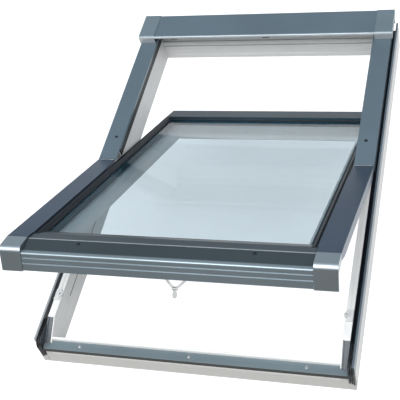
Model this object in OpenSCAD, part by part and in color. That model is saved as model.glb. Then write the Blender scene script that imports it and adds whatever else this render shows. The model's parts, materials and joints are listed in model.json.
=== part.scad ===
// Centre-pivot roof window, shown with its sash swung open.
// X runs across the roof, Y up the slope and Z out of the roof.
// The origin is under the pivot, on the plane of the frame's room side.

/* [Frame] */
// Overall width of the frame
frame_w = 780; // [560:10:1340]
// Length of the frame below the pivot
frame_down = 570; // [480:5:800]
// Length of the frame above the pivot
frame_up = 570; // [480:5:800]
// Height of the outside covers above the room side
cover_z = 114; // [105:1:135]
// Width of a stile, from its outside to its inner face
stile_w = 56; // [50:1:70]
// Set-back of the stile's inner face below the pivot
lower_setback = 22; // [16:1:26]
// Depth of the stile's top below the covers, in the lower half
lower_top = 24; // [20:1:32]
// Depth of the frame's bottom rail along the slope
bottom_rail_d = 45; // [42:1:55]
// Depth of the frame's top rail along the slope
top_rail_d = 40; // [34:1:46]
// Distance of each row of bracket holes from the pivot
bracket_hole_y = 400; // [300:10:430]
// Distance between the two bracket holes of a pair
bracket_hole_gap = 30; // [20:1:36]
// Height of the lower bracket holes above the room side
bracket_hole_low = 14; // [10:1:20]
// Radius of a bracket pilot hole
bracket_hole_r = 2; // [1.5:0.1:3]
// Depth of a bracket pilot hole
bracket_hole_d = 24; // [16:1:32]

/* [Side channel] */
// Width of the gutter along each stile
channel_w = 16; // [15:0.5:18]
// Depth of the gutter's underside below the covers
channel_d = 55; // [48:1:62]
// Width of the rim folded in along the gutter's outside
rim_w = 5; // [3:0.5:6]
// Depth of that rim below the covers
rim_drop = 24; // [20:0.5:30]

/* [Covers] */
// Thickness of the folded sheet
sheet = 1.5; // [1:0.1:2]
// Width of a side cover
cover_w = 51; // [46:1:56]
// Distance of a side cover from the frame's outside
cover_inset = 11; // [10:0.5:14]
// Gap between an upper and a lower cover at the pivot
pivot_gap = 3; // [2:0.2:5]
// Height of a cover's outer flange
flange_h = 26; // [18:1:27]
// Distance of the cover screws from the pivot
cover_screw_y = 85; // [70:5:140]
// Distance of the cover screws from a cover's inner edge
cover_screw_in = 22; // [14:1:24]

/* [Hood] */
// Depth of the hood, from its front edge to the frame's top
hood_d = 94; // [84:1:104]
// How far the end caps reach in front of the hood
cap_lead = 1; // [0.5:0.5:4]
// How far the hood reaches past the frame's top
hood_past = 3; // [2:0.5:8]
// Height of the hood above the covers
hood_rise = 22; // [18:0.5:28]
// Width of a hood end cap
hood_cap_w = 50; // [46:1:54]
// Radius of the hood's front edge
hood_r = 7; // [4:0.5:8]
// Height of the hood's front, nose included
hood_lip = 8; // [8:0.5:12]

/* [Sash] */
// Opening angle of the sash
open_angle = 30; // [0:1:60]
// How far the sash's top reaches under the hood
sash_tuck = 24; // [12:1:34]
// How far the sash's bottom bar reaches past the frame's low end
sash_lap = 6; // [5:0.5:10]
// Gap between sash and frame on each side
sash_gap = 8; // [7:0.5:12]
// Width of a sash stile
sash_stile_w = 40; // [34:1:60]
// Depth of the sash's room side below the covers
sash_d = 82; // [72:1:95]
// Depth of the top cover of the sash along the slope
top_cover_d = 70; // [60:1:80]
// Depth of the glazing beads' tops below the side covers
bead_drop = 3; // [2:0.5:5]

/* [Glass] */
// Depth of the glass below the side covers
glass_drop = 13; // [11:0.5:16]
// Thickness of a pane
pane_t = 4; // [3:0.5:6]
// Air space between the panes
air_gap = 16; // [10:1:18]
// How far the beads cover the edge of the glass
glass_cover = 4; // [3:0.5:8]
// Clearance round the glass
glass_clear = 2; // [1:0.5:4]

/* [Bottom bar] */
// Depth of the bar's section along the slope
bar_d = 68; // [62:1:76]
// Length of the corner caps along the slope
nose_run = 42; // [38:1:52]
// Drop of the bar's front top edge below the covers
nose_drop = 20; // [14:1:24]
// Height of the bar's front face
bar_h = 44; // [36:1:48]
// Thickness of the bar's front wall
bar_wall = 3; // [2.5:0.1:4]
// Width and depth of each groove in the bar's front
groove = 1.4; // [0.8:0.1:2]
// Radius of the bar's front top edge
bar_nose_r = 6; // [3:0.5:8]
// Radius of the corner caps' noses
nose_r = 14; // [8:1:16]
// How far the corner caps stand proud of the bar
cap_proud = 2; // [1:0.5:4]
// Distance of the bar's screws from the middle
bar_screw_x = 200; // [120:10:200]

/* [Pivot hinge] */
// Inner radius of the hinge's curved track
track_r = 24; // [22:1:26]
// Width of the groove that the shoe runs in
track_w = 10; // [8:0.5:11]
// Thickness of the track's two ridges
ridge = 2; // [1.5:0.1:2.5]
// Clearance of the shoe in its track
shoe_clear = 0.3; // [0.3:0.05:0.5]
// Angle that the shoe spans
shoe_span = 20; // [12:1:20]
// Thickness of the hinge plates
plate_t = 1.5; // [1:0.1:2]

/* [Handle] */
// Place of the handle to the right of the middle
handle_x = 0; // [-60:2:60]
// Length of the V-shaped handle bracket
handle_l = 50; // [40:1:56]
// Lean of that bracket towards the frame's bottom rail
handle_lean = 35; // [20:1:38]
// Length of the lever below its pin
lever_l = 22; // [18:1:30]
// Width of the lever
lever_w = 6.5; // [5:0.5:9]
// Radius of the lever's pin
lever_pin_r = 2; // [1.6:0.1:2.4]
// Radial clearance of the lever's pin
pin_clear = 0.05; // [0.02:0.01:0.1]

/* [Small parts] */
// Radius of a screw's shank
screw_r = 2.1; // [1.6:0.1:2.6]
// Radius of a screw's head
screw_head_r = 4.5; // [3.5:0.1:5]
// Distance of the outer screws of the drip strip from the stiles
strip_screw_in = 76; // [30:2:100]
// Number of fins on a corner seal
seal_fins = 3; // [2:1:4]

/* [Hidden] */
$fn = 48;
eps = 0.01;

// Frame, across the roof
half_w = frame_w / 2;
in_x = half_w - stile_w;
low_in_x = in_x + lower_setback;
gutter_x = half_w - channel_w;
cover_out = half_w - cover_inset;
cover_in = cover_out - cover_w;
cover_screw_x = cover_in + cover_screw_in;

// Frame, up the slope
rail_in = -frame_down + bottom_rail_d;
top_in = frame_up - top_rail_d;
lap = pivot_gap / 2;
track_out = track_r + track_w;
plate_end = track_out + ridge + 6;
strip_z = -56;
strip_d = 22;
face_lean = 4;
strip_front = -frame_down + face_lean;
strip_back = strip_front + strip_d;
strip_mid = (strip_front + strip_back) / 2;
drip_h = 11;
drip_lead = 2;
upstand_in = strip_back + 6;
upstand_top = -48;
sill_fall = 2.1;
sill_z = upstand_top - sill_fall * (rail_in - upstand_in);
strip_screw_x = low_in_x - strip_screw_in;
stop_z = -52;
stop_d = 6;
flute = 1.5;
seal_drop = 32;
hinge_top = -sheet - 2.5;
fold_h = 8;
hood_front = frame_up - hood_d;
hood_nose = hood_front - cap_lead;
hood_back = frame_up + hood_past;
hood_over = 4;
hood_skirt = 28;
cover_top = top_in - 1;
hood_cap_in = cover_out + hood_over - hood_cap_w;

// Ramp blocks on the stiles' low ends, and seals at the low ends of the gutters
ramp_top = -frame_down + 74;
ramp_foot = -frame_down + 18;
ramp_low = strip_z + 4;
block_x = low_in_x + 2;
block_rib = 3;
block_dip = 3;
seal_notch = 8;
seal_front = -frame_down + 3;
seal_back = ramp_top;
seal_foot = -channel_d - 38;
seal_step = 4;
seal_base = 9;
seal_r = 22;
fin_t = 3;
fin_h = 24;
fin_lead = 3;
seal_in = gutter_x + sheet + 0.3;
seal_out = half_w - sheet - 0.3;

// Keepers of the cleaning bolts
keeper_y = -(frame_down - 138);
keeper_x = low_in_x + 4;
keeper_r = 7;

// Sash, across and along, in its closed place
sash_up = hood_front + sash_tuck;
sash_down = frame_down + sash_lap;
lower_cover_l = sash_down - nose_run;
sash_x = in_x - sash_gap;
sash_in_x = sash_x - sash_stile_w;
rebate_x = sash_x - 8;
glass_x = rebate_x - glass_clear;
bead_in_x = glass_x - glass_cover;
web_y = -(sash_down - bar_d);
sash_rail_d = 53;
bead_front = -(lower_cover_l - 1);
bead_back = web_y + 28;
top_cover_in = sash_up - top_cover_d;
glass_top = top_cover_in + 16;
rail_lip = glass_top + glass_clear;
glass_low = web_y + 18;
gasket_w = 3;

// Sash, in depth
stile_top = -22;
pane_1 = -glass_drop - pane_t;
pane_2 = pane_1 - air_gap - pane_t;
tape_t = 1;
rebate_z = pane_2 - tape_t;
leg_z = -bead_drop - 2.5;

// Bottom bar and corner caps
bar_x = cover_in - 0.5;
bar_top = -bead_drop - 0.5;
bar_foot = -nose_drop - bar_h;
cap_front = -(sash_down + cap_proud);
cap_foot = bar_foot - cap_proud;
web_h = 44;
bar_lip = 4.5;
bar_slope = atan((nose_drop - 1 + bar_top) / (nose_run - 3));
bar_nose_y = -sash_down + bar_nose_r;
bar_nose = [
  bar_nose_y,
  bar_top + (bar_nose_y - bead_front) * tan(bar_slope) - bar_nose_r / cos(bar_slope)
];
bar_screw_in = 10;
flange_cut = 43;
flange_end = flange_h - 8.5;

// Hinge angles, from straight down: towards the top is positive
swing = 140;
shoe_mid = 66;
track_end = swing - shoe_mid + shoe_span / 2;
ridge_x0 = sash_x + plate_t + 1.5;
plate_x = in_x - 2;

// Handle
handle_y = web_y + 36;
fork_r = 5;
fork_slot = lever_w + 0.8;
fork_w = fork_slot + 4.8;
hub_r = 4.2;
lever_hang = 24;

white = [0.88, 0.88, 0.87];
slate = [0.38, 0.45, 0.50];
dark = [0.13, 0.16, 0.19];
black = [0.06, 0.06, 0.06];
silver = [0.62, 0.66, 0.68];
steel = [0.70, 0.71, 0.72];
clear = [0.75, 0.83, 0.86, 0.45];

function arc(c, r, a0, a1, n = 10) =
  [for (i = [0:n]) c + r * [cos(a0 + (a1 - a0) * i / n), sin(a0 + (a1 - a0) * i / n)]];

// Places: the frame as it lies in the roof, and the sash turned about its pivot
module in_roof() translate([0, 0, cover_z]) children();
module on_sash() in_roof() rotate([-open_angle, 0, 0]) children();
module to_left() mirror([1, 0, 0]) children();

// Sweeps: a section in X and Z along Y, and a section in Y and Z along X
module along_y(y0, y1) translate([0, y1, 0]) rotate([90, 0, 0]) linear_extrude(y1 - y0) children();
module along_x(x0, x1) translate([x0, 0, 0]) rotate([90, 0, 90]) linear_extrude(x1 - x0) children();
module block(x0, x1, y0, y1, z0, z1) translate([x0, y0, z0]) cube([x1 - x0, y1 - y0, z1 - z0]);
// A turned section about the pivot axis, between two angles
module about_pivot(a0, a1) rotate([0, 90, 0]) rotate_extrude(angle = a1 - a0, start = a0) children();
module rect(x0, x1, y0, y1) translate([x0, y0]) square([x1 - x0, y1 - y0]);

module screw(length, head = 1.6) {
  rotate_extrude() polygon([
    [0, head], [screw_head_r * 0.7, head], [screw_head_r, head * 0.5],
    [screw_head_r, 0], [screw_r, 0], [screw_r, -length], [0, -length - screw_r]
  ]);
}
module screw_hole(length) translate([0, 0, -length]) cylinder(r = screw_r + 0.15, h = length + 4);

// Frame stile: full height above the pivot, cut down below it, with a thin wall beside the ramp block
module low_end(surface) {
  polygon(concat(
    [[ramp_top, 0], [-frame_down - 1, 0], [-frame_down - 1, -cover_z], [-frame_down, -cover_z],
    [strip_front, strip_z - drip_h - drip_lead], [strip_front, strip_z - sheet]], surface
  ));
}
module stile() {
  color(white) in_roof() difference() {
    union() {
      along_y(-frame_down, frame_up)
        rect(low_in_x, half_w, -cover_z, -channel_d);
      along_y(ramp_foot, -plate_end)
        rect(low_in_x, gutter_x, -channel_d - eps, -lower_top);
      along_y(-plate_end, frame_up)
        rect(low_in_x, gutter_x, -channel_d - eps, hinge_top);
      along_y(lap, frame_up)
        rect(low_in_x, gutter_x, hinge_top - eps, -sheet);
    }
    block(gutter_x, half_w + 1, -frame_down - 1, -frame_down + seal_notch, seal_foot - 1, 0);
    along_x(low_in_x - 1, block_x + eps)
      low_end([[ramp_foot, strip_z - sheet], [ramp_foot, ramp_low], [ramp_top, -lower_top]]);
    along_x(block_x, gutter_x) low_end([[ramp_top, strip_z - sheet]]);
    along_y(keeper_y, -plate_end - 60)
      rect(low_in_x - 1, low_in_x + flute, -lower_top - 40, -lower_top - 38);
    along_y(keeper_y, -plate_end - 60)
      rect(keeper_x + 4, keeper_x + 4 + flute, -lower_top - flute, -lower_top + 1);
    for (y = [-bracket_hole_y, bracket_hole_y], z = [0, bracket_hole_gap])
      translate([half_w - bracket_hole_d, y, bracket_hole_low + z - cover_z]) rotate([0, 90, 0])
        cylinder(r = bracket_hole_r, h = bracket_hole_d + 1);
  }
}
module frame_right_stile() stile();
module frame_left_stile() to_left() stile();

// Upper stop: the moulding beside the sash's upper half, which carries the hinge
module upper_stop() {
  color(white) in_roof() difference() {
    union() {
      along_y(-plate_end, top_in) rect(in_x, low_in_x, -cover_z, hinge_top);
      along_y(lap, top_in) rect(in_x, low_in_x, hinge_top - eps, -sheet);
    }
    translate([cover_screw_x, cover_screw_y, 0]) screw_hole(18);
  }
}
module upper_right_stop() upper_stop();
module upper_left_stop() to_left() upper_stop();

module frame_top_rail() {
  color(white) in_roof() along_x(-low_in_x, low_in_x) polygon([
    [top_in, -cover_z], [frame_up, -cover_z], [frame_up, hood_rise - sheet],
    [top_in + stop_d, hood_rise - sheet], [top_in + stop_d, stop_z + stop_d], [top_in, stop_z],
    for (z = [stop_z - 10, -cover_z + 16], p = [[0, 1], [1, 0], [0, -1]]) [top_in, z] + flute * p
  ]);
}

module frame_bottom_rail() {
  color(white) in_roof() difference() {
    along_x(-low_in_x, low_in_x) polygon([
      [-frame_down, -cover_z], [rail_in, -cover_z], [rail_in, sill_z], [upstand_in, upstand_top],
      [strip_back, upstand_top], [strip_back, strip_z - sheet],
      [strip_front, strip_z - sheet], [strip_front, strip_z - drip_h - drip_lead]
    ]);
    for (x = [-1, 0, 1]) translate([x * strip_screw_x, strip_mid, strip_z]) screw_hole(16);
  }
}

// Folded strip that sheds water over the bottom rail, narrower where it passes the ramp blocks
module strip_section(back) {
  polygon([
    [back, strip_z - sheet], [back, strip_z], [strip_front - sheet, strip_z],
    [strip_front - sheet - drip_lead, strip_z - drip_h], [strip_front - drip_lead, strip_z - drip_h],
    [strip_front, strip_z - sheet]
  ]);
}
module drip_strip() {
  color(slate) in_roof() difference() {
    union() {
      along_x(-low_in_x, low_in_x) strip_section(strip_back);
      along_x(-gutter_x, gutter_x) strip_section(ramp_foot);
    }
    for (x = [-1, 0, 1]) translate([x * strip_screw_x, strip_mid, strip_z]) screw_hole(8);
  }
}
module strip_screws() {
  color(steel) in_roof()
    for (x = [-1, 0, 1]) translate([x * strip_screw_x, strip_mid, strip_z]) screw(12);
}

// Gutter with a rim folded in along its outside
module channel() {
  color(dark) in_roof() along_y(-frame_down + seal_notch, frame_up) polygon([
    [gutter_x, -channel_d], [half_w, -channel_d], [half_w, -rim_drop],
    [half_w - rim_w, -rim_drop], [half_w - rim_w, -rim_drop - rim_w],
    [half_w - rim_w + sheet, -rim_drop - rim_w], [half_w - rim_w + sheet, -rim_drop - sheet],
    [half_w - sheet, -rim_drop - sheet], [half_w - sheet, -channel_d + sheet],
    [gutter_x + sheet, -channel_d + sheet], [gutter_x + sheet, -lower_top - 6],
    [gutter_x, -lower_top - 6]
  ]);
}
module right_side_channel() channel();
module left_side_channel() to_left() channel();

// Upper cover: a sheet with both long edges folded down, the inner one only above the hinge
module upper_cover() {
  color(slate) in_roof() difference() {
    union() {
      along_y(lap, cover_top) polygon([
        [cover_in, 0], [cover_out, 0], [cover_out, -flange_h], [cover_out - sheet, -flange_h],
        [cover_out - sheet, -sheet], [cover_in, -sheet]
      ]);
      along_y(plate_end + 2, cover_top) rect(cover_in, cover_in + sheet, -fold_h, -sheet + eps);
    }
    translate([cover_screw_x, cover_screw_y, 0]) screw_hole(8);
  }
}
module upper_right_cover() upper_cover();
module upper_left_cover() to_left() upper_cover();
module cover_screws() {
  color(slate) in_roof() for (s = [-1, 1]) translate([s * cover_screw_x, cover_screw_y, 0]) screw(14);
}

// Rubber lip on the stile's inner face, under the upper cover
module upper_seal() {
  color(black) in_roof() along_y(plate_end + 2, top_in) polygon([
    [in_x, -sheet], [cover_in + sheet, -sheet], [cover_in + sheet, -seal_drop + 4],
    [cover_in + 2 * sheet, -seal_drop], [in_x, -seal_drop]
  ]);
}
module upper_right_seal() upper_seal();
module upper_left_seal() to_left() upper_seal();

// Section of the hood's sheet: rounded in front, folded down behind
module hood_section(front, back, top, foot, r) {
  polygon(concat(
    [[back, -hood_skirt], [back, top]], arc([front + r, top - r], r, 90, 180),
    [[front, foot], [front + sheet, foot]], arc([front + r, top - r], r - sheet, 180, 90),
    [[back - sheet, top - sheet], [back - sheet, -hood_skirt]]
  ));
}
module top_hood() {
  color(slate) in_roof() along_x(-hood_cap_in, hood_cap_in)
    hood_section(hood_front, hood_back, hood_rise, hood_rise - hood_lip, hood_r);
}
module hood_cap() {
  color(silver) in_roof() {
    along_x(hood_cap_in, hood_cap_in + hood_cap_w - sheet)
      hood_section(hood_nose, hood_back + 1, hood_rise + 1.5, 0, hood_r + 2);
    along_x(hood_cap_in + hood_cap_w - sheet, hood_cap_in + hood_cap_w)
      polygon(concat(
        [[hood_back + 1, 0], [hood_back + 1, hood_rise + 1.5]],
        arc([hood_nose + hood_r + 2, hood_rise - 0.5 - hood_r], hood_r + 2, 90, 180),
        [[hood_nose, 0]]
      ));
  }
}
module hood_right_cap() hood_cap();
module hood_left_cap() to_left() hood_cap();

// Plastic block that ramps down from the stile's top to the drip strip, dished between two ribs
module ramp(dip) {
  foot = strip_z - sheet;
  polygon([[ramp_foot, foot], [ramp_top, foot], [ramp_top, -lower_top - dip], [ramp_foot, ramp_low - dip]]);
}
module corner_block() {
  color(silver * 0.7) in_roof() {
    along_x(block_x, gutter_x) ramp(block_dip);
    along_x(block_x, block_x + block_rib) ramp(0);
    along_x(gutter_x - block_rib, gutter_x) ramp(0);
  }
}
module right_corner_block() corner_block();
module left_corner_block() to_left() corner_block();

// Rubber seal that closes the gutter's low end, with fins that bend over the corner
module corner_seal() {
  pitch = (seal_out - seal_in - fin_t) / (seal_fins - 1);
  color(black) in_roof() {
    block(seal_in, seal_out, seal_front, seal_back, -channel_d + sheet, -channel_d + seal_base);
    block(seal_in, seal_out, seal_front, -frame_down + seal_notch,
      seal_foot + seal_fins * seal_step, -channel_d + seal_base);
    for (i = [0:seal_fins - 1]) along_x(seal_in + i * pitch, seal_in + i * pitch + fin_t)
      polygon(concat(
        [[seal_back, -channel_d + seal_base - 1], [seal_back, -channel_d + fin_h - 4]],
        arc([seal_front - fin_lead + seal_r, -channel_d + fin_h - seal_r], seal_r, 90, 180),
        [[seal_front - fin_lead, seal_foot + (seal_fins - 1 - i) * seal_step],
        [seal_front + 1, seal_foot + (seal_fins - 1 - i) * seal_step],
        [seal_front + 1, -channel_d + seal_base - 1]]
      ));
  }
}
module right_corner_seal() corner_seal();
module left_corner_seal() to_left() corner_seal();

// Frame half of the pivot hinge: a plate with two curved ridges that hold the shoe
module hinge_track() {
  color(steel) in_roof() {
    intersection() {
      about_pivot(-90, 90) rect(track_r - ridge - 4, track_out + ridge + 4, plate_x, in_x);
      block(plate_x - 1, in_x + 1, -plate_end, plate_end, -plate_end, -sheet - 3);
    }
    about_pivot(-track_end, 80) rect(track_r - ridge, track_r, ridge_x0, plate_x + eps);
    about_pivot(-track_end, 80) rect(track_out, track_out + ridge, ridge_x0, plate_x + eps);
  }
}
module right_hinge_track() hinge_track();
module left_hinge_track() to_left() hinge_track();

// Sash half of the hinge: a plate on the stile with a curved shoe
module hinge_shoe() {
  color(steel) on_sash() {
    about_pivot(shoe_mid - shoe_span / 2, shoe_mid + shoe_span / 2)
      rect(track_r + shoe_clear, track_out - shoe_clear, sash_x + plate_t - eps, plate_x - 0.5);
    along_x(sash_x, sash_x + plate_t) polygon([
      [12, -62], [52, -62], [52, -24], [track_out + 2, -5], [track_r - 4, -5], [12, -24]
    ]);
  }
}
module right_hinge_shoe() hinge_shoe();
module left_hinge_shoe() to_left() hinge_shoe();

// Keeper for the cleaning bolt, on top of the lower stile
module bolt_keeper() {
  color(white) in_roof() translate([keeper_x, keeper_y, -lower_top]) difference() {
    union() {
      block(0, gutter_x - keeper_x, -16, 16, 0, 3);
      cylinder(r = keeper_r, h = 7);
    }
    translate([0, 0, 2]) cylinder(r = keeper_r / 2, h = 8);
  }
}
module right_bolt_keeper() bolt_keeper();
module left_bolt_keeper() to_left() bolt_keeper();

module strike_plate() {
  color(steel) in_roof() difference() {
    block(handle_x - 30, handle_x + 30, rail_in, rail_in + 1.5, -cover_z + 4, sill_z - 4);
    block(handle_x - 14, handle_x + 14, rail_in - 1, rail_in + 2, -cover_z + 10, sill_z - 10);
  }
}

// Sash timbers, with a rebate for the glass
module sash_stile() {
  color(white) on_sash() along_y(web_y, sash_up - sheet) polygon([
    [sash_in_x, -sash_d + 6], [sash_in_x + 6, -sash_d], [sash_x, -sash_d],
    [sash_x, stile_top], [rebate_x, stile_top], [rebate_x, rebate_z],
    [sash_in_x + 10, rebate_z], [sash_in_x, rebate_z - 10]
  ]);
}
module sash_right_stile() sash_stile();
module sash_left_stile() to_left() sash_stile();

module sash_top_rail() {
  color(white) on_sash() {
    along_x(-sash_in_x, sash_in_x) polygon([
      [top_cover_in, -sash_d + 6], [top_cover_in + 6, -sash_d], [sash_up - sheet, -sash_d],
      [sash_up - sheet, stile_top + eps], [rail_lip, stile_top + eps], [rail_lip, rebate_z],
      [top_cover_in + 10, rebate_z], [top_cover_in, rebate_z - 10]
    ]);
    along_x(-sash_x, sash_x) rect(rail_lip, sash_up - sheet, stile_top, -bead_drop - sheet);
  }
}

module sash_bottom_rail() {
  back = web_y + sash_rail_d;
  lip = glass_low - glass_clear;
  color(white) on_sash() along_x(-sash_in_x, sash_in_x) polygon([
    [back, -sash_d + 6], [back - 6, -sash_d], [web_y, -sash_d], [web_y, stile_top],
    [lip, stile_top], [lip, rebate_z], [back - 10, rebate_z], [back, rebate_z - 10]
  ]);
}

// Double glazing
module pane(z) on_sash() block(-glass_x, glass_x, glass_low, glass_top, z, z + pane_t);
module outer_pane() color(clear) pane(pane_1);
module inner_pane() color(clear) pane(pane_2);
module ring(inset, w, z0, z1) {
  x = glass_x - inset;
  y0 = glass_low + inset;
  y1 = glass_top - inset;
  on_sash() difference() {
    block(-x, x, y0, y1, z0, z1);
    block(-x + w, x - w, y0 + w, y1 - w, z0 - 1, z1 + 1);
  }
}
module glass_spacer() color(silver) ring(5, 7, pane_2 + pane_t, pane_1);
module bedding_tape() color(black) ring(1, 7, rebate_z, pane_2);
// Black gasket pressed between the beads and the outer pane
module glass_gasket() {
  color(black) on_sash() difference() {
    block(-bead_in_x, bead_in_x, bead_back, top_cover_in, -glass_drop, -glass_drop + 2.5);
    block(-bead_in_x + gasket_w, bead_in_x - gasket_w, bead_back + gasket_w,
      top_cover_in - gasket_w, -glass_drop - 1, 0);
  }
}

// Glazing bead along a stile, with a groove along its top
module side_bead() {
  color(dark) on_sash() along_y(web_y, top_cover_in) polygon([
    [rebate_x, stile_top], [sash_x, stile_top], [sash_x, -bead_drop], [sash_x - 3, -bead_drop],
    [sash_x - 3, -bead_drop - 6], [sash_x - 5.5, -bead_drop - 6], [sash_x - 5.5, -bead_drop],
    [sash_x - 9, -bead_drop], [bead_in_x, -glass_drop + 3], [bead_in_x, -glass_drop],
    [rebate_x, -glass_drop]
  ]);
}
module right_bead() side_bead();
module left_bead() to_left() side_bead();

// Bead over the low edge of the glass, lapping the bottom bar
module bottom_bead() {
  color(dark) on_sash() {
    along_x(-bead_in_x, bead_in_x) polygon([
      [bead_back, -glass_drop], [bead_back, -glass_drop + 3], [web_y + 4, -bead_drop],
      [bead_front, -bead_drop], [bead_front, leg_z], [web_y, leg_z], [web_y, -glass_drop]
    ]);
    for (s = [-1, 1]) block(min(s * bead_in_x, s * sash_x), max(s * bead_in_x, s * sash_x),
      bead_front, web_y, leg_z, -bead_drop);
  }
}

// Bead over the top edge of the glass, under the front edge of the top cover
module top_bead() {
  color(dark) on_sash() {
    along_x(-sash_x, sash_x) rect(top_cover_in, rail_lip, -glass_drop, -bead_drop - sheet);
    for (s = [-1, 1]) block(min(s * rebate_x, s * sash_x), max(s * rebate_x, s * sash_x),
      top_cover_in, rail_lip, stile_top, -glass_drop + eps);
  }
}

// Folded sheet over the sash's top rail
module sash_top_cover() {
  color(slate) on_sash() along_x(-sash_x, sash_x) polygon([
    [top_cover_in, -bead_drop], [sash_up, -bead_drop], [sash_up, stile_top - 10],
    [sash_up - sheet, stile_top - 10], [sash_up - sheet, -bead_drop - sheet],
    [top_cover_in, -bead_drop - sheet]
  ]);
}

// Bottom bar: a folded section with a sloped top, a rounded nose and a grooved front
module bottom_bar() {
  color(slate) on_sash() difference() {
    along_x(-bar_x, bar_x) difference() {
      polygon(concat(
        [[web_y, -web_h], [web_y, leg_z], [bead_front, leg_z], [bead_front, bar_top]],
        arc(bar_nose, bar_nose_r, 90 + bar_slope, 180, 6),
        [[-sash_down, bar_foot], [-sash_down + bar_lip, bar_foot],
        [-sash_down + bar_lip, bar_foot + 2], [-sash_down + bar_wall, bar_foot + 2],
        [-sash_down + bar_wall, -nose_drop - 3], [bead_front, leg_z - 2.5],
        [web_y - 2, leg_z - 2.5], [web_y - 2, -web_h]]
      ));
      for (k = [1, 2]) translate([-sash_down, -nose_drop - k * bar_h * 0.3]) rotate(45)
        square(groove * sqrt(2), center = true);
    }
    for (s = [-1, 1]) bar_screw_place(s) screw_hole(8);
  }
}
module bar_screw_place(s) {
  translate([s * bar_screw_x, bead_front - bar_screw_in, bar_top - bar_screw_in * tan(bar_slope)])
    rotate([bar_slope, 0, 0]) children();
}
module bar_screws() color(slate) on_sash() for (s = [-1, 1]) bar_screw_place(s) screw(6);

// Lower cover: rides on the sash stile by its inner web
module lower_cover() {
  color(slate) on_sash() {
    along_y(-lower_cover_l, -lap) rect(cover_in, cover_out, -sheet, 0);
    along_y(web_y, -plate_end - 30) rect(sash_x, cover_in + eps, stile_top, 0);
    along_y(-lower_cover_l, web_y) rect(cover_in, cover_in + sheet, -fold_h, -sheet + eps);
    along_x(cover_out - sheet, cover_out) polygon([
      [-lower_cover_l + flange_cut, -flange_h], [-lap - flange_h, -flange_h], [-lap, -fold_h], [-lap, 0],
      [-lower_cover_l, 0], [-lower_cover_l, -flange_end]
    ]);
  }
}
module lower_right_cover() lower_cover();
module lower_left_cover() to_left() lower_cover();

// Corner cap: slopes down from the cover, then rounds over to a tall front
function cap_outline(t) = let (
  slope = atan((nose_drop - 6) / (nose_run - 6)),
  c = [cap_front + nose_r, -nose_drop + 2 - nose_r * (1 - cos(slope))]
) concat(
  [[-lower_cover_l, -t], [-lower_cover_l - 4, -t]],
  arc(c, nose_r - t, 90 + slope, 180, 8)
);
module corner_cap() {
  color(silver) on_sash() {
    along_x(cover_in, cover_out) polygon(concat(
      cap_outline(0), [[cap_front, cap_foot], [cap_front + 2, cap_foot]],
      [for (i = [len(cap_outline(2)) - 1:-1:0]) cap_outline(2)[i]]
    ));
    for (x = [cover_in, cover_out - 2]) along_x(x, x + 2) polygon(concat(
      cap_outline(1), [[cap_front + 1, cap_foot], [cap_front + 6, cap_foot],
      [cap_front + 6, -nose_drop - 8], [-lower_cover_l, -flange_end]]
    ));
  }
}
module right_corner_cap() corner_cap();
module left_corner_cap() to_left() corner_cap();

// V-shaped bracket under the sash's bottom rail, with a fork at its point for the lever
module handle_place() on_sash() translate([handle_x, handle_y, -sash_d]) children();
module handle_pin_place() rotate([-handle_lean, 0, 0]) translate([0, 0, -handle_l]) children();
module across(r, w) translate([-w / 2, 0, 0]) rotate([0, 90, 0]) cylinder(r = r, h = w);
module handle_bracket() {
  reach = handle_l - 10;
  color(white) handle_place() difference() {
    union() {
      block(-30, 30, -11, 11, -3, 0);
      rotate([-handle_lean, 0, 0]) translate([0, 2, 0]) rotate([90, 0, 0]) linear_extrude(4) difference() {
        polygon([
          [-28, -2], [28, -2], [fork_w / 2, -reach], [fork_w / 2, -handle_l],
          [-fork_w / 2, -handle_l], [-fork_w / 2, -reach]
        ]);
        polygon([[-19, -7], [19, -7], [2, 3 - reach], [-2, 3 - reach]]);
      }
      handle_pin_place() across(fork_r, fork_w);
    }
    handle_pin_place() block(-fork_slot / 2, fork_slot / 2, -9, 9, -9, hub_r + 1.5);
    handle_pin_place() across(lever_pin_r, 2 * fork_w);
  }
}

// Lever: a hub on a pin in the fork, with a thin curved blade
module handle_lever() {
  color(silver) handle_place() handle_pin_place() {
    across(lever_pin_r - pin_clear, fork_w);
    across(hub_r, lever_w);
    rotate([handle_lean - lever_hang, 0, 0]) along_x(-lever_w / 2, lever_w / 2) polygon(concat(
      arc([lever_l, 0], lever_l + 2.5, 180, 224, 8), arc([lever_l, 0], lever_l - 2.5, 224, 180, 8)
    ));
  }
}

frame_left_stile();
frame_right_stile();
upper_left_stop();
upper_right_stop();
frame_top_rail();
frame_bottom_rail();
left_side_channel();
right_side_channel();
upper_left_cover();
upper_right_cover();
upper_left_seal();
upper_right_seal();
top_hood();
hood_left_cap();
hood_right_cap();
drip_strip();
left_corner_block();
right_corner_block();
left_corner_seal();
right_corner_seal();
left_hinge_track();
right_hinge_track();
left_bolt_keeper();
right_bolt_keeper();
strike_plate();
cover_screws();
strip_screws();
sash_left_stile();
sash_right_stile();
sash_top_rail();
sash_bottom_rail();
outer_pane();
inner_pane();
glass_spacer();
bedding_tape();
glass_gasket();
left_bead();
right_bead();
bottom_bead();
top_bead();
sash_top_cover();
bottom_bar();
lower_left_cover();
lower_right_cover();
left_corner_cap();
right_corner_cap();
bar_screws();
left_hinge_shoe();
right_hinge_shoe();
handle_bracket();
handle_lever();
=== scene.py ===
"""Looks of a centre-pivot roof window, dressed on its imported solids.

Lengths are in metres. X runs across the roof, Y up the slope and Z out of the roof.
"""
import json
import math

import bmesh
import bpy
from mathutils import Matrix, Vector


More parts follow.
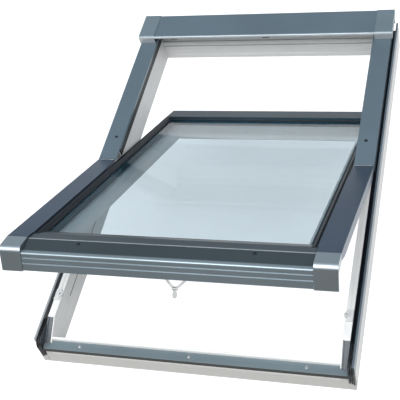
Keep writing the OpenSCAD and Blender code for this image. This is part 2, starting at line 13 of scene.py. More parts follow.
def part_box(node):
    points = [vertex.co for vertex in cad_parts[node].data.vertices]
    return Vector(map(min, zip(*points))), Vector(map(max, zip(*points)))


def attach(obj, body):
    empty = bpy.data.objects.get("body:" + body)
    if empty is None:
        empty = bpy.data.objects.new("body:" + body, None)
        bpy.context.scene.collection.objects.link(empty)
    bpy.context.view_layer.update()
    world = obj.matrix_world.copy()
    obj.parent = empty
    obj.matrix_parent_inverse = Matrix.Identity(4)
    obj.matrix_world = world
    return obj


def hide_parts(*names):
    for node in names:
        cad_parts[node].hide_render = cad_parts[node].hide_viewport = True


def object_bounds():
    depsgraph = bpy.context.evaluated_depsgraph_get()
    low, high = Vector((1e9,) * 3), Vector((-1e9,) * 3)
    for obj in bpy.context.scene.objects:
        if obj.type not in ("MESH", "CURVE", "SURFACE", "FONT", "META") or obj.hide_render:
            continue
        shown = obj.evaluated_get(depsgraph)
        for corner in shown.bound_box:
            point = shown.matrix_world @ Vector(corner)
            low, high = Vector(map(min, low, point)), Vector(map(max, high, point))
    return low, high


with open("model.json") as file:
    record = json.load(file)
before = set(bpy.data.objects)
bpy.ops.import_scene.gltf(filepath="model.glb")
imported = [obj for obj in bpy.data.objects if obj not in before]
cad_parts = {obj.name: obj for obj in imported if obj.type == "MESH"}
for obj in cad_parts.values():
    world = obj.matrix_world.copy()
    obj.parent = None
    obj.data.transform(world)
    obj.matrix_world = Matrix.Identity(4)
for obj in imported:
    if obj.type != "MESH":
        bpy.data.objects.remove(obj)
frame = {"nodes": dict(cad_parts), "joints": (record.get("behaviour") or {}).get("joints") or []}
cad_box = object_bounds()
nodes = frame["nodes"]

# Camera and stage
ROOF_PITCH = math.radians(45)
CAMERA_PLACE = Vector((0.6559, -1.5292, 1.9021))
CAMERA_AIM = Vector((-0.29861, 0.58791, -0.75179))
CAMERA_LENS = 82.58
CAMERA_REACH = 50
FLOOR_DROP = 0.16
FLOOR_R = 1.9
FLOOR_SIDES = 96
FLOOR_MIDDLE = (-0.25, -0.05)
FLOOR_GLOW = 0.82

# Light: a lamp, a sky by height, and a pale wall with a brighter strip in front of the window
KEY_PLACE = (-0.6, -1.3, 2.9)
KEY_AIM = Vector((0, 0, 0.1))
KEY_SIZE = 1.2
KEY_WATTS = 12
SKY_STOPS = [
    (0.0, (0.22, 0.22, 0.21)), (0.26, (0.22, 0.22, 0.21)), (0.40, (0.55, 0.55, 0.55)),
    (0.55, (0.74, 0.76, 0.78)), (0.78, (0.58, 0.65, 0.71)), (1.0, (0.45, 0.50, 0.54)),
]
WALL_GLOW = 0.45
WALL_FRONT = (0.25, 0.7)
WALL_FOOT = (-0.5, -0.15)
STRIP_GLOW = 4.2
STRIP_FRONT = (0.55, 0.8)
STRIP_FOOT = (0.02, 0.16)
STRIP_TOP = (0.52, 0.38)
BACK_SHADE = 0.8
BACK_EDGE = (-0.75, -0.2)

# Angles of the open sash and of the bar's sloping top
OPEN_TURN = math.radians(30)
BAR_SLOPE = math.radians(21.67)

# Finishes
COATED_GLASS_IOR = 1.14
SLATE = (0.118, 0.162, 0.194)
# Painted highlight: a light colour on the front lip of the hood and its caps stands in for the bright line on
# their nose.
LIP_PAINTED_HIGHLIGHT = (0.41, 0.44, 0.455)
# Painted shade: the warm grey laid on the stiles' lower ends and on the bottom rail's front.
FOOT_PAINTED_SHADE = (0.47, 0.46, 0.44)
ALONG_X = (0.02, 1, 1)
ALONG_Y = (1, 0.02, 1)
# Depth from the front at which the painted lip highlight starts and ends its fade.
LIP_HIGHLIGHT_W = 0.0018
LIP_HIGHLIGHT_FADE = 0.0034
# Painted shade: how far below the drip strip's top its near-black front band starts and ends its fade.
DRIP_SHADE_BAND = (0.0016, 0.0008)
# Painted light and shade: where each gutter's outer rim ends and its darker inside begins.
LEFT_RIM_X = 0.3795
RIGHT_RIM_X = 0.3825
RIM_FADE = 0.0004
# Painted shade: heights over which the bottom rail's warm grey front fades to white.
RAIL_SHADE_Z = (0.030, 0.046)
# Painted shade: reach and fade of the warm grey at the stiles' lower ends.
END_SHADE_REACH = 0.010
END_SHADE_FADE = 0.014
# Painted light and shade: how far up from the bar's front its light front gives way to its dark top.
BAR_NOSE_PAINTED_LIGHT = (0.006, 0.010)

# Fine texture of the finishes: how close the noise is, and how deep its relief
PEEL_SCALE = 900.0
PEEL_DEPTH = 0.00004
DRIFT_SCALE = 5.0
STREAK_SCALE = 260.0
STREAK_DEPTH = 0.00006
PATCH_SCALE = 14.0
SPECK_SCALE = 1400.0
SPECK_DEPTH = 0.00005
BRUSH_SCALE = 500.0
WAVE_SCALE = 3.0

# Rounded edges: their widths, and how far an edge turns before it is rounded
SHEET_EDGE = 0.0007
TIMBER_EDGE = 0.001
WELD_REACH = 0.000002
FLAT_ANGLE = math.radians(0.6)
EDGE_ANGLE = math.radians(40)
PLATE_CORNER = 0.4
PIN_CORNER = 0.8

# Screws
HEAD_H = 0.0016
HEAD_SHAPE = ((0.62, 1.0), (0.86, 0.8), (1.0, 0.35), (1.0, 0.0))
SHANK_R = 0.0021
RECESS_R = 0.0021
RECESS_DEPTH = 0.0011
LOBES = 6
LOBE_SHARE = 0.16
SCREW_STEPS = 36
SAME_PLACE = 1e-6

# Bright trim and grey rail lines as painted highlight and shade, black groove strips as painted shade, and
# clips
TRIM_W = 0.0016
TRIM_RISE = 0.0009
TRIM_SOFT = 0.0003
GROOVE_SHADE_Y = (-0.408, -0.104)
GROOVE_SHADE_Z = (0.0496, 0.0524)
GROOVE_SHADE_PROUD = 0.0004
GROOVE_SHADE_DEPTH = 0.0010
BLOCK_SET_BACK = 0.002
LINE_Z = (0.068, 0.049)
LINE_H = 0.0018
LINE_T = 0.0006
LINE_PROUD = 0.0004
LINE_SOFT = 0.0002
LINE_END = 0.00005
CLIP_X = (-0.270, 0.016)
CLIP_HALF = 0.011
CLIP_D = 0.007
CLIP_DROP = 0.0032
CLIP_INSET = 0.0004
HOOD_LIP_H = 0.008

# Pull handle, in the plane of its fork: across, and down from its foot
FORK_FOOT = Vector((0, -0.4498, 0.2790))
FORK_HALF = 0.028
FORK_ELBOW = (0.0245, 0.033)
FORK_TIP = (0.0063, 0.0515)
FORK_TIP_H = 0.0055
FORK_ARM_W = 0.0055
ELBOW_RISE = 0.002
FORK_BAR_H = 0.005
FORK_T = 0.0038
FORK_SOFT = 0.0008
CHEEK_IN = 0.0037
CHEEK_OUT = 0.0061
CHEEK_R = 0.005
CHEEK_SOFT = 0.0005
LEVER_DOWN = Vector((0, -0.74, -0.673))
LEVER_OUTLINE = ((0.0032, 0.0), (0.0036, 0.006), (0.0047, 0.011), (0.0047, 0.018), (0.0028, 0.0225))
LEVER_T = 0.0036
LEVER_SOFT = 0.0009
LEVER_HUB_R = 0.0038
PIN_PROUD = 0.0004
PIN_SOFT = 0.0004
PIN_SIDES = 32

UPRIGHT = Vector((0, math.sin(ROOF_PITCH), math.cos(ROOF_PITCH)))
OUTWARD = Vector((0, -math.cos(ROOF_PITCH), math.sin(ROOF_PITCH)))
SASH_UP = Vector((0, math.cos(OPEN_TURN), -math.sin(OPEN_TURN)))


def make_camera():
    """The viewer stands upright before a roof of that pitch."""
    right = CAMERA_AIM.cross(UPRIGHT).normalized()
    up = right.cross(CAMERA_AIM).normalized()
    data = bpy.data.cameras.new("camera")
    data.lens = CAMERA_LENS
    data.clip_end = CAMERA_REACH
    camera = bpy.data.objects.new("camera", data)
    turn = Matrix((right, up, -CAMERA_AIM.normalized())).transposed().to_4x4()
    camera.matrix_world = Matrix.Translation(CAMERA_PLACE) @ turn
    bpy.context.scene.collection.objects.link(camera)
    bpy.context.scene.camera = camera


# Node helpers
def add_node(tree, kind, inputs=None, **settings):
    """A new node with its settings and input values."""
    node = tree.nodes.new(kind)
    for name, value in settings.items():
        setattr(node, name, value)
    for name, value in (inputs or {}).items():
        node.inputs[name].default_value = value
    return node


def ramp(tree, factor, stops):
    """A colour by a factor from 0 to 1, through the stops given as place and colour."""
    node = add_node(tree, "ShaderNodeValToRGB")
    marks = node.color_ramp.elements
    while len(marks) < len(stops):
        marks.new(0.5)
    for mark, (place, colour) in zip(marks, stops):
        mark.position = place
        mark.color = (*colour, 1)
    tree.links.new(factor, node.inputs[0])
    return node.outputs[0]


def rise(tree, value, low, high, kind="SMOOTHSTEP"):
    """0 below one value and 1 above another."""
    node = add_node(tree, "ShaderNodeMapRange", {"From Min": low, "From Max": high}, interpolation_type=kind)
    tree.links.new(value, node.inputs["Value"])
    return node.outputs["Result"]


def times(tree, first, second):
    """The product of two numbers, of which the second may be a constant."""
    node = add_node(tree, "ShaderNodeMath", operation="MULTIPLY")
    tree.links.new(first, node.inputs[0])
    if isinstance(second, (int, float)):
        node.inputs[1].default_value = second
    else:
        tree.links.new(second, node.inputs[1])
    return node.outputs[0]


# Light
def make_world():
    """A grey-blue sky over the roof, a dim ground, and a bright pale wall in front of the window."""
    world = bpy.data.worlds.new("studio")
    bpy.context.scene.world = world
    world.use_nodes = True
    tree = world.node_tree
    place = add_node(tree, "ShaderNodeTexCoord")
    heights = []
    for axis in (UPRIGHT, OUTWARD):
        part = add_node(tree, "ShaderNodeVectorMath", {1: axis}, operation="DOT_PRODUCT")
        tree.links.new(place.outputs["Generated"], part.inputs[0])
        heights.append(part.outputs["Value"])
    height, outward = heights
    sky = tree.nodes["Background"]
    tree.links.new(ramp(tree, rise(tree, height, -1.0, 1.0, "LINEAR"), SKY_STOPS), sky.inputs["Color"])
    wall = add_node(tree, "ShaderNodeBackground", {"Color": (0.98, 0.99, 1.0, 1)})
    shape = times(tree, rise(tree, outward, *WALL_FRONT), rise(tree, height, *WALL_FOOT))
    band = times(tree, rise(tree, height, *STRIP_FOOT), rise(tree, height, *STRIP_TOP))
    band = times(tree, band, rise(tree, outward, *STRIP_FRONT))
    glow = add_node(tree, "ShaderNodeMath", operation="ADD")
    tree.links.new(times(tree, shape, WALL_GLOW), glow.inputs[0])
    tree.links.new(times(tree, band, STRIP_GLOW), glow.inputs[1])
    tree.links.new(glow.outputs[0], wall.inputs["Strength"])
    tree.links.new(spread(tree, rise(tree, outward, *BACK_EDGE), BACK_SHADE, 1.0), sky.inputs["Strength"])
    both_lights = add_node(tree, "ShaderNodeAddShader")
    tree.links.new(sky.outputs[0], both_lights.inputs[0])
    tree.links.new(wall.outputs[0], both_lights.inputs[1])
    tree.links.new(both_lights.outputs[0], tree.nodes["World Output"].inputs["Surface"])


def make_lamp(name, place, size, watts, colour):
    """A soft box that faces the middle of the window."""
    data = bpy.data.lights.new(name, "AREA")
    data.shape = "DISK"
    data.size = size
    data.energy = watts
    data.color = colour
    lamp = bpy.data.objects.new(name, data)
    lamp.location = place
    aim = KEY_AIM - Vector(place)
    lamp.rotation_euler = aim.to_track_quat("-Z", "Y").to_euler()
    bpy.context.scene.collection.objects.link(lamp)


def make_floor():
    """A plain white floor that keeps the window's shadow."""
    bpy.ops.mesh.primitive_circle_add(vertices=FLOOR_SIDES, radius=FLOOR_R, fill_type="NGON")
    floor = bpy.context.object
    floor.name = "floor"
    floor.data.transform(Matrix.Translation((*FLOOR_MIDDLE, cad_box[0].z - FLOOR_DROP)))
    material = bpy.data.materials.new("floor_white")
    material.use_nodes = True
    tree = material.node_tree
    shader = tree.nodes["Principled BSDF"]
    shader.inputs["Base Color"].default_value = (0.32, 0.32, 0.32, 1)
    shader.inputs["Roughness"].default_value = 0.9
    shader.inputs["Specular IOR Level"].default_value = 0.1
    rays = add_node(tree, "ShaderNodeLightPath")
    glossy = add_node(tree, "ShaderNodeMath", operation="MAXIMUM")
    seen = add_node(tree, "ShaderNodeMath", operation="MAXIMUM")
    tree.links.new(rays.outputs["Is Camera Ray"], glossy.inputs[0])
    tree.links.new(rays.outputs["Is Glossy Ray"], glossy.inputs[1])
    tree.links.new(glossy.outputs[0], seen.inputs[0])
    tree.links.new(rays.outputs["Is Transmission Ray"], seen.inputs[1])
    tree.links.new(times(tree, seen.outputs[0], FLOOR_GLOW), shader.inputs["Emission Strength"])
    shader.inputs["Emission Color"].default_value = (1, 1, 1, 1)
    floor.data.materials.append(material)


# Finishes
def new_finish(name, roughness, metal=0.0):
    """A material with its shader's plain values set."""
    material = bpy.data.materials.new(name)
    material.use_nodes = True
    shader = material.node_tree.nodes["Principled BSDF"]
    shader.inputs["Roughness"].default_value = roughness
    shader.inputs["Metallic"].default_value = metal
    return material, material.node_tree, shader


def cloud(tree, scale, stretch=(1, 1, 1), turn=0.0, detail=3.0):
    """Noise on the piece's own coordinates, stretched along an axis that may be turned about X."""
    place = add_node(tree, "ShaderNodeTexCoord")
    mapping = add_node(tree, "ShaderNodeMapping", {"Scale": stretch, "Rotation": (turn, 0, 0)})
    noise = add_node(tree, "ShaderNodeTexNoise", {"Scale": scale, "Detail": detail})
    tree.links.new(place.outputs["Object"], mapping.inputs["Vector"])
    tree.links.new(mapping.outputs["Vector"], noise.inputs["Vector"])
    return noise.outputs["Fac"]


def along(tree, axis):
    """How far a point of the piece lies along a direction."""
    place = add_node(tree, "ShaderNodeTexCoord")
    part = add_node(tree, "ShaderNodeVectorMath", {1: axis}, operation="DOT_PRODUCT")
    tree.links.new(place.outputs["Object"], part.inputs[0])
    return part.outputs["Value"]


def blend_colours(tree, factor, first, second):
    """A colour between two, which may be links or plain colours, by a factor."""
    node = add_node(tree, "ShaderNodeMix", data_type="RGBA")
    sockets = [socket for socket in node.inputs if socket.type == "RGBA"]
    tree.links.new(factor, node.inputs["Factor"])
    for socket, colour in zip(sockets, (first, second)):
        if isinstance(colour, tuple):
            socket.default_value = (*colour, 1)
        else:
            tree.links.new(colour, socket)
    return next(socket for socket in node.outputs if socket.type == "RGBA")


def scaled(colour, share):
    """A colour with its parts multiplied by a share."""
    return tuple(part * share for part in colour)


def shades(tree, factor, dark, light, low=0.3, high=0.7):
    """A colour between two shades by a factor."""
    return ramp(tree, factor, [(low, dark), (high, light)])


def spread(tree, factor, low, high):
    """A number between two limits by a factor."""
    node = add_node(tree, "ShaderNodeMapRange", {"To Min": low, "To Max": high})
    tree.links.new(factor, node.inputs["Value"])
    return node.outputs["Result"]


def relief(tree, shader, factor, depth, strength=1.0):
    """Small relief on the surface."""
    bump = add_node(tree, "ShaderNodeBump", {"Distance": depth, "Strength": strength})
    tree.links.new(factor, bump.inputs["Height"])
    tree.links.new(bump.outputs["Normal"], shader.inputs["Normal"])


def coat_texture(tree, shader, roughness):
    """Fine orange peel, and the slow drift along the sheet that tints its colour."""
    peel = cloud(tree, PEEL_SCALE, detail=2.0)
    tree.links.new(spread(tree, peel, roughness - 0.06, roughness + 0.06), shader.inputs["Roughness"])
    relief(tree, shader, peel, PEEL_DEPTH)
    return cloud(tree, DRIFT_SCALE, detail=2.0)


def drifting(tree, drift, colour, fleck=0.06):
    """A colour that drifts a little."""
    return shades(tree, drift, scaled(colour, 1 - fleck), scaled(colour, 1 + fleck))


def coated_metal(name, colour, roughness, metal, specular=0.5):
    """Powder-coated sheet."""
    material, tree, shader = new_finish(name, roughness, metal)
    shader.inputs["Specular IOR Level"].default_value = specular
    drift = coat_texture(tree, shader, roughness)
    tree.links.new(drifting(tree, drift, colour), shader.inputs["Base Color"])
    return material


def edged_coat(name, low_colour, high_colour, axis, start, end, roughness, metal):
    """Powder-coated sheet whose colour changes along a direction, used here to paint light and shade: a
    painted shade band at a drip edge, a painted highlight at a lip, a lit and a shaded side.
    """
    material, tree, shader = new_finish(name, roughness, metal)
    drift = coat_texture(tree, shader, roughness)
    edge = rise(tree, along(tree, axis), start, end)
    shade = blend_colours(tree, edge, drifting(tree, drift, low_colour), drifting(tree, drift, high_colour))
    tree.links.new(shade, shader.inputs["Base Color"])
    return material


def white_lacquer(name, stretch, turn=0.0, foot=None, share=1.0):
    """White lacquer with faint streaks along the member, painted shade in warm grey at a foot where one is
    named, and its whites scaled by a share, which is painted light where it is above one.
    """
    material, tree, shader = new_finish(name, 0.42)
    streak = cloud(tree, STREAK_SCALE, stretch, turn)
    patch = cloud(tree, PATCH_SCALE, detail=2.0)
    white = shades(tree, streak, scaled((0.73, 0.72, 0.705), share), scaled((0.79, 0.78, 0.765), share))
    shade = blend_colours(tree, rise(tree, patch, 0.45, 0.75), white, scaled((0.72, 0.715, 0.705), share))
    if foot:
        axis, start, end = foot
        shade = blend_colours(tree, rise(tree, along(tree, axis), start, end), FOOT_PAINTED_SHADE, shade)
    tree.links.new(shade, shader.inputs["Base Color"])
    tree.links.new(spread(tree, streak, 0.36, 0.5), shader.inputs["Roughness"])
    relief(tree, shader, streak, STREAK_DEPTH)
    return material


def moulded(name, colour, roughness, specular=0.5):
    """Moulded plastic or rubber with a fine texture."""
    material, tree, shader = new_finish(name, roughness)
    shader.inputs["Specular IOR Level"].default_value = specular
    speck = cloud(tree, SPECK_SCALE)
    tree.links.new(shades(tree, speck, scaled(colour, 0.9), scaled(colour, 1.1)), shader.inputs["Base Color"])
    relief(tree, shader, speck, SPECK_DEPTH)
    return material


def plated_steel(name, colour, roughness):
    """Plated steel with fine brushing."""
    material, tree, shader = new_finish(name, roughness, 1.0)
    brush = cloud(tree, BRUSH_SCALE, (0.05, 1, 1))
    tree.links.new(shades(tree, brush, scaled(colour, 0.85), colour), shader.inputs["Base Color"])
    tree.links.new(spread(tree, brush, roughness - 0.08, roughness + 0.08), shader.inputs["Roughness"])
    return material


def float_glass(name, colour):
    """Clear pane with a cool tint, a low-reflection coat and the faintest drift in its tint."""
    material, tree, shader = new_finish(name, 0.0)
    shader.inputs["Transmission Weight"].default_value = 1.0
    shader.inputs["IOR"].default_value = COATED_GLASS_IOR
    wave = cloud(tree, WAVE_SCALE, detail=1.0)
    tree.links.new(shades(tree, wave, scaled(colour, 0.97), colour), shader.inputs["Base Color"])
    return material


def dress(material, *names):
    """Gives nodes a material."""
    for name in names:
        for slot in nodes[name].material_slots:
            slot.material = material


def both(name):
    """A left and a right node's names."""
    return [name.format("left"), name.format("right")]


def dress_frame():
    """White members, outside covers and gutters of the fixed frame."""
    # Painted shade: warm grey over the stiles' lower ends and over the bottom rail's front below its top.
    low_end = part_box("frame_left_stile")[0].y
    stile_painted_shade = ((0, 1, 0), low_end + END_SHADE_REACH, low_end + END_SHADE_FADE)
    dress(white_lacquer("stile_white", ALONG_Y, foot=stile_painted_shade), *both("frame_{}_stile"))
    dress(white_lacquer("stop_white", ALONG_Y), *both("upper_{}_stop"))
    dress(white_lacquer("rail_white", ALONG_X), "frame_top_rail")
    dress(white_lacquer("low_rail_white_painted_shade", ALONG_X, foot=((0, 0, 1), *RAIL_SHADE_Z)), "frame_bottom_rail")
    dress(coated_metal("slate_coat", SLATE, 0.30, 0.45), *both("upper_{}_cover"))
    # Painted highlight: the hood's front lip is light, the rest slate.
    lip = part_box("top_hood")[0].y
    hood = edged_coat("hood_coat_painted_highlight", LIP_PAINTED_HIGHLIGHT, SLATE, (0, 1, 0), lip + LIP_HIGHLIGHT_W, lip + LIP_HIGHLIGHT_FADE, 0.30, 0.45)
    dress(hood, "top_hood")
    # Painted highlight: the same light front lip on the hood caps.
    cap_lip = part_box("hood_left_cap")[0].y
    caps = edged_coat("hood_cap_coat_painted_highlight", LIP_PAINTED_HIGHLIGHT, (0.160, 0.208, 0.240), (0, 1, 0),
                      cap_lip + LIP_HIGHLIGHT_W, cap_lip + LIP_HIGHLIGHT_FADE, 0.30, 0.45)
    dress(caps, *both("hood_{}_cap"))
    # Painted shade: the drip strip's front fold is near black, its top slate.
    strip_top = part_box("drip_strip")[1].z
    strip = edged_coat("strip_coat_painted_shade", (0.014, 0.017, 0.015), (0.170, 0.215, 0.238), (0, 0, 1),
                       strip_top - DRIP_SHADE_BAND[0], strip_top - DRIP_SHADE_BAND[1], 0.34, 0.35)
    dress(strip, "drip_strip")
    # Painted light and shade: each gutter's inside is darker than its rim; the left, lit gutter has a light
    # grey rim and a dark grey inside, the right, shaded one a slate rim and a near-black inside.
    left = edged_coat("left_gutter_coat_painted_light_shade", (0.045, 0.056, 0.066), (0.33, 0.35, 0.37), (-1, 0, 0),
                      LEFT_RIM_X - RIM_FADE, LEFT_RIM_X, 0.34, 0.25)
    dress(left, "left_side_channel")
    right = edged_coat("right_gutter_coat_painted_shade", (0.012, 0.020, 0.032), (0.115, 0.150, 0.182), (1, 0, 0),
                       RIGHT_RIM_X - RIM_FADE, RIGHT_RIM_X, 0.34, 0.3)
    dress(right, "right_side_channel")
    dress(moulded("grey_block", (0.070, 0.082, 0.096), 0.42), *both("{}_corner_block"))
    # Painted shade: the white plastic bolt keepers are coloured grey so their shaded outline shows.
    dress(moulded("keeper_painted_shade_grey", (0.60, 0.605, 0.61), 0.3), *both("{}_bolt_keeper"))


def dress_sash():
    """Beads, covers, bar, glass and fittings of the sash."""
    # Painted light: the sash's white parts are 1.2 times as bright as the same white on the frame, for the
    # light the glass holds back.
    dress(white_lacquer("sash_stile_white_painted_light", ALONG_Y, OPEN_TURN, share=1.2), *both("sash_{}_stile"))
    dress(white_lacquer("sash_rail_white_painted_light", ALONG_X, share=1.2), "sash_top_rail", "sash_bottom_rail")
    # Painted shade and painted reflection: the lower covers are a darker, bluer copy of the slate on the
    # upper covers.
    low_cover = coated_metal("low_cover_coat_painted_shade", (0.070, 0.100, 0.148), 0.30, 0.75, specular=0.3)
    dress(low_cover, *both("lower_{}_cover"))
    # Painted light and shade: the bar's nose and front are a light grey-blue, its sloping top a dark one.
    bar_front = turned_box("bottom_bar", OPEN_TURN)[0].y
    bar = edged_coat("bar_coat_painted_light_shade", (0.235, 0.285, 0.315), (0.064, 0.083, 0.094), SASH_UP,
                     bar_front + BAR_NOSE_PAINTED_LIGHT[0], bar_front + BAR_NOSE_PAINTED_LIGHT[1], 0.25, 0.7)
    dress(bar, "bottom_bar")
    dress(coated_metal("cap_coat", (0.40, 0.455, 0.49), 0.30, 0.95), *both("{}_corner_cap"))
    # Painted shade: the sash's top cover is near navy, darker than the slate of the other covers.
    dress(coated_metal("top_cover_coat_painted_shade", (0.034, 0.056, 0.073), 0.40, 0.5, specular=0.1), "sash_top_cover")
    dress(coated_metal("bead_coat", (0.026, 0.050, 0.070), 0.40, 0.5, specular=0.2), "top_bead")
    dress(coated_metal("side_bead_coat", (0.014, 0.019, 0.026), 0.42, 0.3, specular=0.2), *both("{}_bead"))
    dress(coated_metal("low_bead_coat", (0.040, 0.056, 0.068), 0.36, 0.3), "bottom_bead")
    rubber = moulded("black_rubber", (0.012, 0.014, 0.017), 0.55)
    dress(rubber, *both("upper_{}_seal"), *both("{}_corner_seal"), "bedding_tape", "glass_gasket")
    dress(moulded("edge_spacer", (0.010, 0.052, 0.078), 0.6, specular=0.05), "glass_spacer")
    dress(plated_steel("zinc_steel", (0.62, 0.63, 0.64), 0.32), *both("{}_hinge_track"),
          *both("{}_hinge_shoe"), "strike_plate")
    dress(float_glass("pane_glass", (0.78, 0.838, 0.868)), "outer_pane", "inner_pane")


def soften(width, *names):
    """Small rounded edges on sheet and section, made of a node's own flat faces."""
    for name in names:
        piece = nodes[name]
        weld = piece.modifiers.new("weld", "WELD")
        weld.merge_threshold = WELD_REACH
        flats = piece.modifiers.new("flats", "DECIMATE")
        flats.decimate_type = "DISSOLVE"
        flats.angle_limit = FLAT_ANGLE
        edge = piece.modifiers.new("edge", "BEVEL")
        edge.width = width
        edge.segments = 3
        edge.limit_method = "ANGLE"
        edge.angle_limit = EDGE_ANGLE


# New pieces
def turned_box(name, turn):
    """Lowest and highest corners of a node in a frame that is turned about X."""
    places = [Matrix.Rotation(turn, 3, "X") @ vertex.co for vertex in nodes[name].data.vertices]
    low = Vector(min(place[i] for place in places) for i in range(3))
    high = Vector(max(place[i] for place in places) for i in range(3))
    return low, high


def new_piece(name, shape, turn, material, body):
    """A finished mesh, turned from the frame that it was made in, on its body."""
    bmesh.ops.rotate(shape, verts=shape.verts, matrix=Matrix.Rotation(-turn, 3, "X"))
    bmesh.ops.recalc_face_normals(shape, faces=shape.faces)
    mesh = bpy.data.meshes.new(name)
    shape.to_mesh(mesh)
    shape.free()
    mesh.materials.append(material)
    piece = bpy.data.objects.new(name, mesh)
    bpy.context.scene.collection.objects.link(piece)
    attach(piece, body)
    return piece


def add_block(shape, low, high, soft):
    """A block between two corners with soft edges."""
    low, high = Vector(low), Vector(high)
    place = Matrix.Translation((low + high) / 2) @ Matrix.Diagonal((*(high - low), 1))
    made = bmesh.ops.create_cube(shape, size=1, matrix=place)["verts"]
    edges = list({edge for vertex in made for edge in vertex.link_edges})
    bmesh.ops.bevel(shape, geom=edges, offset=soft, affect="EDGES", segments=2, profile=0.5, material=-1)


def add_screw(shape, place, head_r, length):
    """A pan-head screw with a six-lobed recess, its seat at a place and its axis along Z."""
    profile = [(0, HEAD_H - RECESS_DEPTH), (RECESS_R, HEAD_H - RECESS_DEPTH), (RECESS_R, HEAD_H)]
    profile += [(head_r * r, HEAD_H * z) for r, z in HEAD_SHAPE]
    profile += [(SHANK_R, 0), (SHANK_R, -length), (0, -length - SHANK_R)]
    earlier = set(shape.verts)
    points = [shape.verts.new((r, 0, z)) for r, z in profile]
    line = points + [shape.edges.new(pair) for pair in zip(points, points[1:])]
    bmesh.ops.spin(shape, geom=line, axis=(0, 0, 1), cent=(0, 0, 0), angle=math.tau, steps=SCREW_STEPS,
                   use_merge=True)
    turned = [vertex for vertex in shape.verts if vertex not in earlier]
    for vertex in turned:
        if vertex.co.z > 0 and abs(vertex.co.xy.length - RECESS_R) < SAME_PLACE:
            lobe = math.cos(LOBES * math.atan2(vertex.co.y, vertex.co.x))
            vertex.co.xy *= 1 - LOBE_SHARE + LOBE_SHARE * lobe
    bmesh.ops.translate(shape, verts=turned, vec=place)


def make_screws(name, node, turn, columns, material, body):
    """Detailed screws in place of a node's plain ones, each standing in its column across the window."""
    low, high = turned_box(node, turn)
    head_r = (high.y - low.y) / 2
    reach = high.x - head_r
    length = high.z - HEAD_H - low.z - SHANK_R
    shape = bmesh.new()
    for column in columns:
        add_screw(shape, (column * reach, (low.y + high.y) / 2, high.z - HEAD_H), head_r, length)
    bmesh.ops.remove_doubles(shape, verts=shape.verts, dist=SAME_PLACE)
    piece = new_piece(name, shape, turn, material, body)
    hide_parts(node)


def make_bar_highlight_strip(material):
    """A thin strip where the bottom bead meets the bar, made bright as a painted highlight on the bead's
    front edge.
    """
    bead = turned_box("bottom_bead", OPEN_TURN)
    bar = turned_box("bottom_bar", OPEN_TURN)
    shape = bmesh.new()
    add_block(shape, (bead[0].x, bead[0].y - TRIM_W, bar[1].z - TRIM_RISE),
              (bead[1].x, bead[0].y, bar[1].z + TRIM_RISE), TRIM_SOFT)
    new_piece("bar_highlight_strip", shape, OPEN_TURN, material, "sash")


def make_stile_groove_shades(material):
    """A black strip in the long groove of each stile's inner face: painted shade for the groove."""
    for side, name in ((-1, "left"), (1, "right")):
        inner = min(abs(corner.x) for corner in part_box(f"{name}_corner_block")) - BLOCK_SET_BACK
        ends = sorted((side * (inner - GROOVE_SHADE_PROUD), side * (inner + GROOVE_SHADE_DEPTH)))
        shape = bmesh.new()
        add_block(shape, (ends[0], GROOVE_SHADE_Y[0], GROOVE_SHADE_Z[0]), (ends[1], GROOVE_SHADE_Y[1], GROOVE_SHADE_Z[1]), TRIM_SOFT)
        new_piece(f"{name}_stile_groove_shade", shape, 0.0, material, "frame")


def make_top_rail_lines(material):
    """Two thin grey strips along the top rail's front face: painted shade at the steps of its profile."""
    low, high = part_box("frame_top_rail")
    for height, name in zip(LINE_Z, ("upper", "lower")):
        shape = bmesh.new()
        add_block(shape, (low.x + LINE_END, low.y - LINE_PROUD, height),
                  (high.x - LINE_END, low.y + LINE_T, height + LINE_H), LINE_SOFT)
        new_piece(f"top_rail_{name}_line", shape, 0.0, material, "frame")


def make_hood_clips(material):
    """The two small dark clips under the hood's front lip."""
    low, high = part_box("top_hood")
    foot = high.z - HOOD_LIP_H
    shape = bmesh.new()
    for x in CLIP_X:
        add_block(shape, (x - CLIP_HALF, low.y + CLIP_INSET, foot - CLIP_DROP),
                  (x + CLIP_HALF, low.y + CLIP_D, foot + CLIP_INSET), CLIP_INSET)
    new_piece("hood_lip_clips", shape, 0.0, material, "frame")


def corner_edges(vertices, angle):
    """Edges at some vertices that turn by more than an angle."""
    edges = {edge for vertex in vertices for edge in vertex.link_edges}
    return [edge for edge in edges if edge.calc_face_angle(0) > angle]


def add_plate(shape, outlines, thickness, soft, origin, down):
    """A plate of joined outlines, in a plane across the window that runs down from an origin."""
    corners = {}
    faces = []
    for outline in outlines:
        for point in outline:
            if point not in corners:
                corners[point] = shape.verts.new((point[0], point[1], -thickness / 2))
        faces.append(shape.faces.new([corners[point] for point in outline]))
    made = bmesh.ops.extrude_face_region(shape, geom=faces, use_keep_orig=True)["geom"]
    raised = [part for part in made if isinstance(part, bmesh.types.BMVert)]
    bmesh.ops.translate(shape, verts=raised, vec=(0, 0, thickness))
    plate = list(corners.values()) + raised
    edges = corner_edges(plate, PLATE_CORNER)
    across = Vector((1, 0, 0))
    down = down.normalized()
    turn = Matrix((across, down, across.cross(down))).transposed().to_4x4()
    bmesh.ops.transform(shape, verts=plate, matrix=Matrix.Translation(origin) @ turn)
    bmesh.ops.bevel(shape, geom=edges, offset=soft, affect="EDGES", segments=3, profile=0.5, material=-1)


def add_pin(shape, place, radius, low_x, high_x, soft):
    """A round bar across the window."""
    middle = Matrix.Translation((low_x + (high_x - low_x) / 2, place.y, place.z))
    turn = middle @ Matrix.Rotation(math.pi / 2, 4, "Y")
    made = bmesh.ops.create_cone(shape, cap_ends=True, segments=PIN_SIDES, radius1=radius, radius2=radius,
                                 depth=high_x - low_x, matrix=turn)["verts"]
    rims = corner_edges(made, PIN_CORNER)
    bmesh.ops.bevel(shape, geom=rims, offset=soft, affect="EDGES", segments=2, profile=0.5, material=-1)


def mirrored(outline):
    """An outline on the other side of the middle."""
    return [(-x, y) for x, y in reversed(outline)]


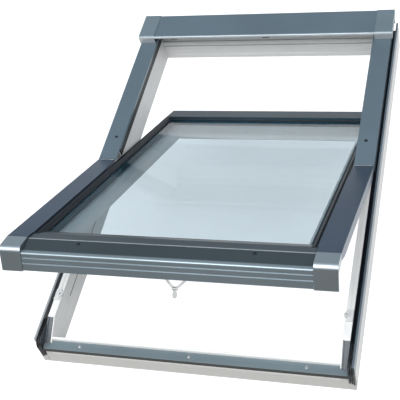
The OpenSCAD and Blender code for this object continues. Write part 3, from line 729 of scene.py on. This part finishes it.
def make_pull_handle(white, metal):
    """The forked bracket under the sash's lower rail, and the lever that hangs in its slot."""
    joint = next(joint for joint in frame["joints"] if joint["name"] == "handle_turn")
    pin = Vector(joint["pos_m"])
    inner = FORK_HALF - FORK_ARM_W
    elbow_in = (FORK_ELBOW[0] - FORK_ARM_W, FORK_ELBOW[1] - ELBOW_RISE)
    upper = [(FORK_HALF, FORK_BAR_H), FORK_ELBOW, elbow_in, (inner, FORK_BAR_H)]
    lower = [FORK_ELBOW, FORK_TIP, (CHEEK_IN, FORK_TIP[1] - FORK_TIP_H), elbow_in]
    foot = [(-FORK_HALF, 0), (FORK_HALF, 0), (FORK_HALF, FORK_BAR_H), (inner, FORK_BAR_H),
            (-inner, FORK_BAR_H), (-FORK_HALF, FORK_BAR_H)]
    fork = bmesh.new()
    outlines = [foot, upper, lower, mirrored(upper), mirrored(lower)]
    add_plate(fork, outlines, FORK_T, FORK_SOFT, FORK_FOOT, pin - FORK_FOOT)
    for side in (-1, 1):
        ends = sorted((side * CHEEK_IN, side * CHEEK_OUT))
        add_pin(fork, pin, CHEEK_R, *ends, CHEEK_SOFT)
    piece = new_piece("pull_fork", fork, 0.0, white, "sash")
    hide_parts("handle_bracket")
    lever = bmesh.new()
    outline = list(LEVER_OUTLINE) + mirrored(LEVER_OUTLINE)
    add_plate(lever, [outline], LEVER_T, LEVER_SOFT, pin, LEVER_DOWN)
    add_pin(lever, pin, LEVER_HUB_R, -LEVER_OUTLINE[0][0], LEVER_OUTLINE[0][0], PIN_SOFT)
    add_pin(lever, pin, SHANK_R, -CHEEK_OUT - PIN_PROUD, CHEEK_OUT + PIN_PROUD, PIN_SOFT)
    piece = new_piece("pull_lever", lever, 0.0, metal, "handle")
    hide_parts("handle_lever")


def make_fittings():
    """Screws, a painted highlight strip, painted shade strips in the stile grooves and along the top rail,
    clips and the pull handle.
    """
    dark = coated_metal("screw_dark", (0.022, 0.028, 0.034), 0.3, 0.6)
    zinc = plated_steel("screw_zinc", (0.62, 0.63, 0.64), 0.28)
    make_screws("cover_pan_screws", "cover_screws", 0.0, (-1, 1), dark, "frame")
    make_screws("strip_pan_screws", "strip_screws", 0.0, (-1, 0, 1), zinc, "frame")
    make_screws("bar_pan_screws", "bar_screws", OPEN_TURN - BAR_SLOPE, (-1, 1), dark, "sash")
    # Painted highlight: a bright strip along the bottom bead's front edge.
    make_bar_highlight_strip(coated_metal("trim_painted_highlight", (0.34, 0.375, 0.40), 0.3, 0.6))
    # Painted shade: black strips in the stiles' grooves.
    make_stile_groove_shades(moulded("groove_shade_black", (0.016, 0.017, 0.018), 0.6))
    # Painted shade: grey strips for the shade lines along the top rail's profile steps.
    make_top_rail_lines(moulded("line_painted_shade", (0.22, 0.22, 0.215), 0.5))
    make_hood_clips(moulded("clip_black", (0.02, 0.021, 0.022), 0.5))
    make_pull_handle(moulded("handle_white", (0.74, 0.735, 0.73), 0.35),
                     plated_steel("satin_lever", (0.50, 0.51, 0.50), 0.3))


make_camera()
make_world()
make_lamp("key", KEY_PLACE, KEY_SIZE, KEY_WATTS, (1, 1, 1))
make_floor()
dress_frame()
dress_sash()
soften(SHEET_EDGE, *both("upper_{}_cover"), *both("lower_{}_cover"), "top_hood", *both("hood_{}_cap"),
       "bottom_bar", *both("{}_corner_cap"), "drip_strip", "sash_top_cover")
soften(TIMBER_EDGE, *both("frame_{}_stile"), *both("upper_{}_stop"), "frame_top_rail", "frame_bottom_rail")
make_fittings()

bpy.context.scene.view_settings.view_transform = "Standard"
